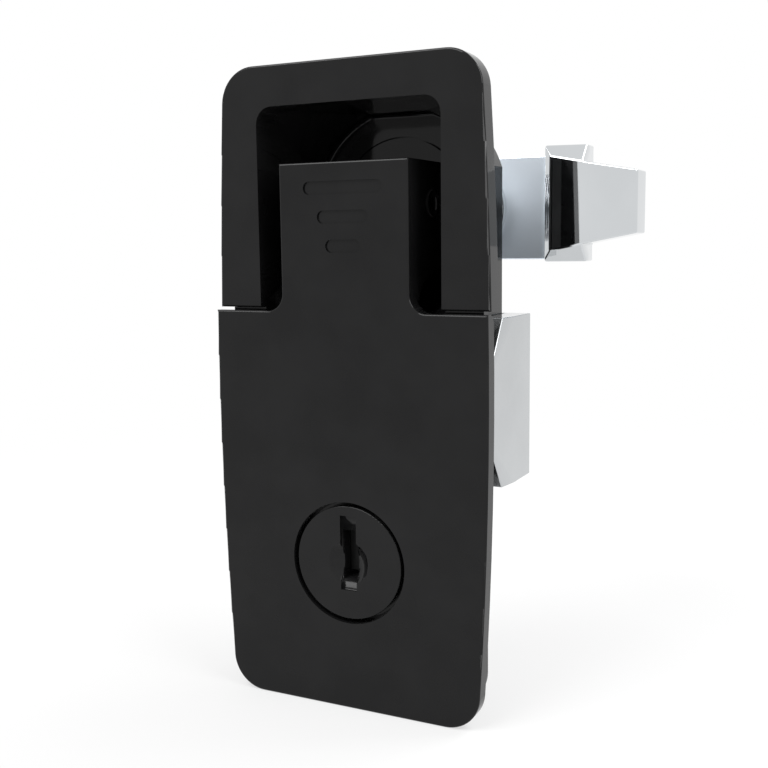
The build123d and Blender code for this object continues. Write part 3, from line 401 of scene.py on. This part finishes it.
@dataclass
class Workpiece:
    """One new piece, shaped with Blender's own tools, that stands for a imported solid.

    Attributes:
        name: Name of the piece.
        mesh_object: The piece itself.
    """

    name: str
    mesh_object: bpy.types.Object

    @classmethod
    def from_node(cls, name: str, node: str) -> "Workpiece":
        """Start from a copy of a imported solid, its triangles merged into whole faces.

        Args:
            name: Name of the new piece.
            node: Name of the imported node.

        Returns:
            The new workpiece.
        """
        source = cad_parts[node]
        copy = bpy.data.objects.new(name, source.data.copy())
        bpy.context.scene.collection.objects.link(copy)
        piece = cls(name, copy)
        piece.in_edit_mode(lambda: bpy.ops.mesh.remove_doubles(threshold=MERGE_DISTANCE))
        piece.in_edit_mode(lambda: bpy.ops.mesh.dissolve_limited(angle_limit=MERGE_ANGLE))
        return piece

    @classmethod
    def turned(cls, name: str, steps: list[tuple[float, float]], sides: int = 64) -> "Workpiece":
        """Start from a round bar along Y, extruded step by step.

        Args:
            name: Name of the new piece.
            steps: Radius and depth of each step, from the front.
            sides: Number of sides of the bar.

        Returns:
            The new workpiece.
        """
        first_radius, first_depth = steps[0]
        bpy.ops.mesh.primitive_circle_add(vertices=sides, radius=first_radius, fill_type="NGON",
                                          rotation=(math.pi / 2, 0, 0), location=(0, first_depth, 0))
        bpy.ops.object.transform_apply(location=True, rotation=True, scale=True)
        piece = cls(name, bpy.context.object)
        piece.mesh_object.name = name
        bpy.ops.object.mode_set(mode="EDIT")
        bpy.ops.mesh.select_all(action="SELECT")
        radius, depth = first_radius, first_depth
        for next_radius, next_depth in steps[1:]:
            bpy.ops.mesh.extrude_region_move(TRANSFORM_OT_translate={"value": (0, next_depth - depth, 0)})
            share = next_radius / radius
            bpy.ops.transform.resize(value=(share, 1, share), center_override=(0, next_depth, 0))
            radius, depth = next_radius, next_depth
        bpy.ops.mesh.select_all(action="SELECT")
        bpy.ops.mesh.normals_make_consistent(inside=False)
        bpy.ops.object.mode_set(mode="OBJECT")
        return piece

    def activate(self) -> None:
        """Make this the only selected object and the active one."""
        bpy.ops.object.select_all(action="DESELECT")
        self.mesh_object.select_set(True)
        bpy.context.view_layer.objects.active = self.mesh_object

    def in_edit_mode(self, step: Callable[[], object]) -> None:
        """Run one step on the whole mesh in edit mode.

        Args:
            step: What to do while everything is selected.
        """
        self.activate()
        bpy.ops.object.mode_set(mode="EDIT")
        bpy.ops.mesh.select_all(action="SELECT")
        step()
        bpy.ops.object.mode_set(mode="OBJECT")

    def cut(self, point: Vector, outwards: Vector) -> None:
        """Cut off what lies beyond a plane and close the cut.

        Args:
            point: A point of the plane.
            outwards: Direction of the side that is cut off.
        """
        self.in_edit_mode(lambda: bpy.ops.mesh.bisect(plane_co=point, plane_no=outwards, use_fill=True,
                                                      clear_outer=True))

    def select_faces(self, wanted: Callable[[bmesh.types.BMFace], bool]) -> None:
        """Enter edit mode with only some faces selected.

        Args:
            wanted: Says whether a face is selected.
        """
        self.activate()
        bpy.ops.object.mode_set(mode="EDIT")
        bpy.ops.mesh.select_mode(type="FACE")
        bpy.ops.mesh.select_all(action="DESELECT")
        mesh = bmesh.from_edit_mesh(self.mesh_object.data)
        for face in mesh.faces:
            face.select_set(wanted(face))
        bmesh.update_edit_mesh(self.mesh_object.data)

    def apply(self, modifier: bpy.types.Modifier) -> None:
        """Apply a modifier.

        Args:
            modifier: The modifier, already set up.
        """
        self.activate()
        bpy.ops.object.modifier_apply(modifier=modifier.name)

    def soften(self, width: float, segments: int = 2, sharper_than: float = 30.0) -> None:
        """Round the sharp edges.

        Args:
            width: How far the rounding reaches from each edge.
            segments: Number of faces across the rounding.
            sharper_than: Angle in degrees from which an edge is rounded.
        """
        bevel = self.mesh_object.modifiers.new("soften", "BEVEL")
        bevel.width = width
        bevel.segments = segments
        bevel.limit_method = "ANGLE"
        bevel.angle_limit = math.radians(sharper_than)
        self.apply(bevel)

    def subtract(self, cutter: "Workpiece") -> None:
        """Take another workpiece's volume away and use that one up.

        Args:
            cutter: The workpiece that is taken away.
        """
        boolean = self.mesh_object.modifiers.new("subtract", "BOOLEAN")
        boolean.operation = "DIFFERENCE"
        boolean.solver = "EXACT"
        boolean.object = cutter.mesh_object
        self.apply(boolean)
        bpy.data.objects.remove(cutter.mesh_object)

    def join(self, other: "Workpiece") -> None:
        """Take another workpiece into this one.

        Args:
            other: The workpiece that is taken in.
        """
        self.activate()
        other.mesh_object.select_set(True)
        bpy.ops.object.join()

    def smooth(self, below: float = 40.0) -> None:
        """Shade the curved faces smoothly and keep the large flat ones flat.

        Args:
            below: Largest angle in degrees between faces that blend.
        """
        self.activate()
        bpy.ops.object.shade_smooth_by_angle(angle=math.radians(below))
        weighting = self.mesh_object.modifiers.new("weighting", "WEIGHTED_NORMAL")
        weighting.keep_sharp = True
        weighting.weight = FLAT_FACE_WEIGHT
        self.apply(weighting)

    def place(self, wardrobe: Wardrobe, finish: Finish, body: str, node: str, slot: str) -> None:
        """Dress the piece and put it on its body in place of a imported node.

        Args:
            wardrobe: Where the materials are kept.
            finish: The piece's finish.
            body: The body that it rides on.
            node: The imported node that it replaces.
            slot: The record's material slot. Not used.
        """
        self.mesh_object.data.name = self.name
        wardrobe.dress(self.mesh_object, finish)
        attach(self.mesh_object, body)
        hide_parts(node)
        log.info("modelled %s in place of %s", self.name, node)


@dataclass
class ThreadedSpindle:
    """Spindle rod with its thread, two flats and the spigot for the eye.

    Attributes:
        radius: Radius of the rod and of the thread's crest.
        root_radius: Radius of the thread's root.
        flat_half: Distance of each flat from the axis.
        pitch: Pitch of the thread.
        crest_width: Width of the thread's crest.
        ridge_sink: How far the thread's ridge is sunk into the root.
        steps_per_turn: Number of faces round one turn of the thread.
        spigot_radius: Radius of the spigot.
        spigot_front: Front end of the spigot.
        front: Front end of the rod.
        thread_front: Where the thread starts.
        back: Back end of the rod.
        end_chamfer: Width of the chamfers at the ends of the thread.
    """

    radius: float = 5.0 * MM
    root_radius: float = 4.35 * MM
    flat_half: float = 4.1 * MM
    pitch: float = 1.5 * MM
    crest_width: float = 0.2 * MM
    ridge_sink: float = 0.1 * MM
    steps_per_turn: int = 40
    spigot_radius: float = 3.0 * MM
    spigot_front: float = 9.1 * MM
    front: float = 12.0 * MM
    thread_front: float = 29.0 * MM
    back: float = 66.0 * MM
    end_chamfer: float = 0.7 * MM

    def build(self, wardrobe: Wardrobe) -> None:
        """Model the rod and put it in place of the plain one.

        Args:
            wardrobe: Where the materials are kept.
        """
        rod = Workpiece.turned("threaded_spindle", [
            (self.spigot_radius, self.spigot_front), (self.spigot_radius, self.front),
            (self.radius, self.front), (self.radius, self.thread_front),
            (self.root_radius, self.thread_front + self.end_chamfer),
            (self.root_radius, self.back - self.end_chamfer),
            (self.root_radius - self.end_chamfer, self.back)])
        thread = self.thread()
        for piece in (rod, thread):
            for side in (-1, 1):
                piece.cut(Vector((0, 0, side * self.flat_half)), Vector((0, 0, side)))
        rod.join(thread)
        rod.smooth()
        rod.place(wardrobe, SPINDLE_STEEL, "pawl", "spindle_rod", "spindle_zinc")

    def thread(self) -> Workpiece:
        """Wind the thread's ridge round the rod.

        Returns:
            The ridge, closed at both ends.
        """
        turns = int((self.back - self.thread_front - 2 * self.end_chamfer) / self.pitch) - 1
        start = self.thread_front + self.end_chamfer
        sunk = self.root_radius - self.ridge_sink
        flank = (self.pitch - self.crest_width) / 2
        profile = [(sunk, start), (self.radius, start + flank),
                   (self.radius, start + flank + self.crest_width), (sunk, start + self.pitch)]
        bpy.ops.mesh.primitive_plane_add(size=1.0, location=(0, 0, 0))
        ridge = Workpiece("thread_ridge", bpy.context.object)
        round_the_plane = (0, 1, 3, 2)
        for index, (radius, depth) in zip(round_the_plane, profile):
            ridge.mesh_object.data.vertices[index].co = (radius, depth, 0)
        ridge.in_edit_mode(lambda: bpy.ops.mesh.delete(type="ONLY_FACE"))
        screw = ridge.mesh_object.modifiers.new("wind", "SCREW")
        screw.axis = "Y"
        screw.angle = 2 * math.pi
        screw.screw_offset = self.pitch
        screw.iterations = turns
        screw.steps = self.steps_per_turn
        screw.render_steps = self.steps_per_turn
        ridge.apply(screw)
        ridge.in_edit_mode(lambda: bpy.ops.mesh.remove_doubles(threshold=MERGE_DISTANCE))
        ridge.in_edit_mode(lambda: bpy.ops.mesh.fill_holes(sides=len(profile)))
        ridge.in_edit_mode(lambda: bpy.ops.mesh.normals_make_consistent(inside=False))
        return ridge


@dataclass
class CrankedPawl:
    """Cranked pawl with its edges broken.

    Attributes:
        edge: Width of the broken edges.
    """

    edge: float = 0.3 * MM

    def build(self, wardrobe: Wardrobe) -> None:
        """Break the pawl's edges and put it in place of the sharp one.

        Args:
            wardrobe: Where the materials are kept.
        """
        pawl = Workpiece.from_node("cranked_pawl", "pawl")
        pawl.soften(self.edge)
        pawl.smooth()
        pawl.place(wardrobe, PAWL_PLATE, "pawl", "pawl", "pawl_zinc")


@dataclass
class PanelBracket:
    """Folded bracket with its front corners cut back and its edges broken.

    Attributes:
        panel: Back face of the panel, where the bracket's sides end.
        top: Upper end of the bracket.
        bottom: Lower end of the bracket.
        corner_reach: How far each corner cut reaches along the side.
        corner_height: How far each corner cut reaches down the front edge.
        edge: Width of the broken edges.
        folds_from: Angle in degrees from which an edge is broken.
    """

    panel: float = 3.0 * MM
    top: float = -19.5 * MM
    bottom: float = -49.1 * MM
    corner_reach: float = 5.8 * MM
    corner_height: float = 6.9 * MM
    edge: float = 0.2 * MM
    folds_from: float = 40.0

    def build(self, wardrobe: Wardrobe) -> None:
        """Cut the corners and put the bracket in place of the plain one.

        Args:
            wardrobe: Where the materials are kept.
        """
        bracket = Workpiece.from_node("panel_bracket", "mounting_bracket")
        for height, up in ((self.top, 1), (self.bottom, -1)):
            point = Vector((0, self.panel, height - up * self.corner_height))
            bracket.cut(point, Vector((0, -self.corner_height, up * self.corner_reach)).normalized())
        bracket.soften(self.edge, sharper_than=self.folds_from)
        bracket.smooth()
        bracket.place(wardrobe, BRACKET_PLATE, "housing", "mounting_bracket", "bracket_zinc")


@dataclass
class LockPlug:
    """Plug of the lock with the whole key path and the wide dish.

    Attributes:
        front: Face of the plug.
        path_half_width: Half the width of the key path.
        path_top: Upper end of the key path, from the plug's axis.
        path_bottom: Lower end of the key path, from the plug's axis.
        path_depth: Depth of the key path.
        dish_radius: Radius of the dish in the plug's face.
        dish_depth: Depth of the dish.
        ball_segments: Number of faces round the ball that hollows the dish.
    """

    front: float = -4.9 * MM
    path_half_width: float = 1.4 * MM
    path_top: float = 5.7 * MM
    path_bottom: float = -3.15 * MM
    path_depth: float = 4.5 * MM
    dish_radius: float = 3.9 * MM
    dish_depth: float = 1.6 * MM
    ball_segments: int = 96

    def build(self, wardrobe: Wardrobe) -> None:
        """Open the key path and the dish, and put the plug in place of the plain one.

        Args:
            wardrobe: Where the materials are kept.
        """
        plug = Workpiece.from_node("lock_plug", "key_plug")
        plug.subtract(self.path_cutter())
        plug.subtract(self.dish_cutter())
        plug.smooth()
        plug.place(wardrobe, LOCK_BLACK, "key_plug", "key_plug", "plug_black")

    def path_cutter(self) -> Workpiece:
        """Make the block that opens the key path.

        Returns:
            The block, reaching out of the plug's face.
        """
        height = self.path_top - self.path_bottom
        middle = LOCK_HEIGHT + (self.path_top + self.path_bottom) / 2
        bpy.ops.mesh.primitive_cube_add(size=1.0, location=(0, self.front, middle))
        cutter = bpy.context.object
        cutter.scale = (2 * self.path_half_width, 2 * self.path_depth, height)
        bpy.ops.object.transform_apply(location=True, rotation=True, scale=True)
        return Workpiece("path_cutter", cutter)

    def dish_cutter(self) -> Workpiece:
        """Make the ball that hollows the dish.

        Returns:
            The ball, most of it in front of the plug's face.
        """
        ball_radius = (self.dish_radius ** 2 + self.dish_depth ** 2) / (2 * self.dish_depth)
        centre = (0, self.front + self.dish_depth - ball_radius, LOCK_HEIGHT)
        bpy.ops.mesh.primitive_uv_sphere_add(segments=self.ball_segments, ring_count=self.ball_segments // 2,
                                             radius=ball_radius, location=centre)
        bpy.ops.object.transform_apply(location=True, rotation=True, scale=True)
        return Workpiece("dish_cutter", bpy.context.object)


@dataclass
class PivotPin:
    """Handle's pivot pin, with a shallow sunk face at each end.

    Attributes:
        rim: Width of the rim round each sunk face.
        sunk: Depth of each sunk face.
        facing: Share of a face's normal that lies along the pin, from which it is an end face.
    """

    rim: float = 0.45 * MM
    sunk: float = 0.5 * MM
    facing: float = 0.99

    def build(self, wardrobe: Wardrobe) -> None:
        """Sink the two end faces and put the pin in place of the plain one.

        Args:
            wardrobe: Where the materials are kept.
        """
        pin = Workpiece.from_node("pivot_pin", "handle_pin")
        for side in (-1, 1):
            pin.select_faces(lambda face: face.normal.x * side > self.facing)
            bpy.ops.mesh.inset(thickness=self.rim, depth=0)
            bpy.ops.mesh.extrude_region_move(TRANSFORM_OT_translate={"value": (-side * self.sunk, 0, 0)})
            bpy.ops.object.mode_set(mode="OBJECT")
        pin.smooth()
        pin.place(wardrobe, BODY_BLACK, "handle", "handle_pin", "pin_black")


@dataclass(frozen=True)
class Softbox:
    """Square area lamp.

    Attributes:
        name: The lamp's name.
        place: Where it stands.
        target: What it points at.
        size: Length of its side.
        power: Its power in watts.
    """

    name: str
    place: Vector
    target: Vector
    size: float
    power: float

    def build(self) -> None:
        """Add the lamp to the scene."""
        data = bpy.data.lights.new(self.name, "AREA")
        data.size = self.size
        data.energy = self.power
        lamp = bpy.data.objects.new(self.name, data)
        lamp.location = self.place
        lamp.rotation_euler = (self.target - self.place).to_track_quat("-Z", "Y").to_euler()
        bpy.context.scene.collection.objects.link(lamp)


SOFTBOXES = (
    Softbox("key_softbox", Vector((-0.35, -0.55, 0.75)), Vector((0, 0, -0.03)), 0.7, 9.0),
    Softbox("fill_softbox", Vector((0.7, -0.14, 0.45)), Vector((0, 0.02, -0.03)), 0.55, 4.0),
    Softbox("rear_softbox", Vector((0.35, 0.4, 0.65)), Vector((0, 0.02, -0.03)), 0.5, 4.5),
)


@dataclass
class Studio:
    """White table, soft surroundings and the lamps.

    Attributes:
        table_height: Height of the table top.
        table_half: Half the side of the table top.
        table_reflectance: Tone of the table's paint.
        table_roughness: Roughness of the table's paint.
        table_specular: Strength of the paint's reflections.
        table_glow_share: Share of plain white in the table top near the latch.
        table_glow_start: Distance up to which that share holds.
        table_glow_full: Distance from which the table top looks plain white.
        soft_light: Strength of the light that the surroundings cast.
    """

    table_height: float
    table_half: float = 6.0
    table_reflectance: float = 0.62
    table_roughness: float = 0.9
    table_specular: float = 0.1
    table_glow_share: float = 0.6
    table_glow_start: float = 0.05
    table_glow_full: float = 0.32
    soft_light: float = 0.72

    def build(self) -> None:
        """Set up the table, the world, the lamps and the view settings."""
        self.table()
        self.world()
        for softbox in SOFTBOXES:
            softbox.build()
        bpy.context.scene.view_settings.view_transform = "Standard"

    def table(self) -> None:
        """Add the table top that the latch stands on."""
        bpy.ops.mesh.primitive_plane_add(size=2 * self.table_half, location=(0, 0, self.table_height))
        top = bpy.context.object
        top.name = "table_top"
        material = bpy.data.materials.new("table_white")
        material.use_nodes = True
        tree = material.node_tree
        paint = tree.nodes["Principled BSDF"]
        paint.inputs["Base Color"].default_value = (self.table_reflectance,) * 3 + (1,)
        paint.inputs["Roughness"].default_value = self.table_roughness
        paint.inputs["Specular IOR Level"].default_value = self.table_specular
        glow = tree.nodes.new("ShaderNodeEmission")
        glow.inputs["Strength"].default_value = 1.0
        share = tree.nodes.new("ShaderNodeMath")
        share.operation = "MULTIPLY"
        place = tree.nodes.new("ShaderNodeTexCoord").outputs["Object"]
        away = tree.nodes.new("ShaderNodeVectorMath")
        away.operation = "LENGTH"
        reach = tree.nodes.new("ShaderNodeMapRange")
        reach.interpolation_type = "SMOOTHSTEP"
        reach.inputs["From Min"].default_value = self.table_glow_start
        reach.inputs["From Max"].default_value = self.table_glow_full
        reach.inputs["To Min"].default_value = self.table_glow_share
        reach.inputs["To Max"].default_value = 1.0
        mix = tree.nodes.new("ShaderNodeMixShader")
        tree.links.new(place, away.inputs[0])
        tree.links.new(away.outputs["Value"], reach.inputs["Value"])
        tree.links.new(self.seen_directly(tree), share.inputs[0])
        tree.links.new(reach.outputs["Result"], share.inputs[1])
        tree.links.new(share.outputs["Value"], mix.inputs["Fac"])
        tree.links.new(paint.outputs["BSDF"], mix.inputs[1])
        tree.links.new(glow.outputs["Emission"], mix.inputs[2])
        tree.links.new(mix.outputs["Shader"], tree.nodes["Material Output"].inputs["Surface"])
        top.data.materials.append(material)

    def world(self) -> None:
        """White surroundings, seen at full strength and lighting the latch softly."""
        world = bpy.data.worlds.new("studio")
        world.use_nodes = True
        tree = world.node_tree
        back = tree.nodes["Background"]
        back.inputs["Color"].default_value = (1, 1, 1, 1)
        strength = tree.nodes.new("ShaderNodeMapRange")
        strength.inputs["To Min"].default_value = self.soft_light
        strength.inputs["To Max"].default_value = 1.0
        tree.links.new(self.seen_directly(tree), strength.inputs["Value"])
        tree.links.new(strength.outputs["Result"], back.inputs["Strength"])
        bpy.context.scene.world = world

    def seen_directly(self, tree: bpy.types.NodeTree) -> bpy.types.NodeSocket:
        """Tell what the camera or a reflection sees from what casts light.

        Args:
            tree: The node tree of the table's paint or of the world.

        Returns:
            1 for a ray of the camera or of a reflection, and 0 for any other.
        """
        rays = tree.nodes.new("ShaderNodeLightPath")
        either = tree.nodes.new("ShaderNodeMath")
        either.operation = "MAXIMUM"
        tree.links.new(rays.outputs["Is Camera Ray"], either.inputs[0])
        tree.links.new(rays.outputs["Is Glossy Ray"], either.inputs[1])
        return either.outputs["Value"]


@dataclass
class Viewpoint:
    """Camera of the photograph, from its three angles and its distance.

    Attributes:
        aim: Point in the middle of the picture.
        distance: Distance from that point.
        turn: Turn to the right of the latch's front, in degrees.
        look_down: Tilt down from level, in degrees.
        roll: Roll about the line of sight, in degrees.
        focal_pixels: Focal length in pixels of the photograph.
        image_pixels: Width of the photograph in pixels.
        sensor: Width of the sensor in millimetres.
        near_clip: Nearest distance that the camera sees.
    """

    aim: Vector
    distance: float = 177.91 * MM
    turn: float = 26.259
    look_down: float = 7.7247
    roll: float = -0.7017
    focal_pixels: float = 1057.70
    image_pixels: float = 768.0
    sensor: float = 36.0
    near_clip: float = 0.01

    def build(self) -> None:
        """Add the camera and look through it."""
        turn, down, roll = (math.radians(angle) for angle in (self.turn, self.look_down, self.roll))
        forward = Vector((-math.sin(turn) * math.cos(down), math.cos(turn) * math.cos(down), -math.sin(down)))
        level = Vector((math.cos(turn), math.sin(turn), 0))
        upright = level.cross(forward)
        right = level * math.cos(roll) + upright * math.sin(roll)
        up = upright * math.cos(roll) - level * math.sin(roll)
        data = bpy.data.cameras.new("camera")
        data.sensor_width = self.sensor
        data.lens = self.sensor * self.focal_pixels / self.image_pixels
        data.clip_start = self.near_clip
        camera = bpy.data.objects.new("camera", data)
        pose = Matrix((right, up, -forward)).transposed().to_4x4()
        pose.translation = self.aim - forward * self.distance
        camera.matrix_world = pose
        bpy.context.scene.collection.objects.link(camera)
        bpy.context.scene.camera = camera


PHOTO_AIM = Vector((6.7369, -3.7, -30.07)) * MM


def dress_solids(wardrobe: Wardrobe) -> None:
    """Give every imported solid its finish.

    Args:
        wardrobe: Where the materials are kept.
    """
    for name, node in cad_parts.items():
        wardrobe.dress(node, NODE_FINISHES[name])
        log.info("dressed %s", name)


def main() -> None:
    """Build the looks of the latch and its studio."""
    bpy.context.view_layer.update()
    wardrobe = Wardrobe()
    dress_solids(wardrobe)
    for assembly in (ThreadedSpindle(), CrankedPawl(), PanelBracket(), LockPlug(), PivotPin()):
        assembly.build(wardrobe)
    table_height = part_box("handle")[0].z
    Studio(table_height).build()
    Viewpoint(PHOTO_AIM).build()


if __name__ == "__main__":
    main()
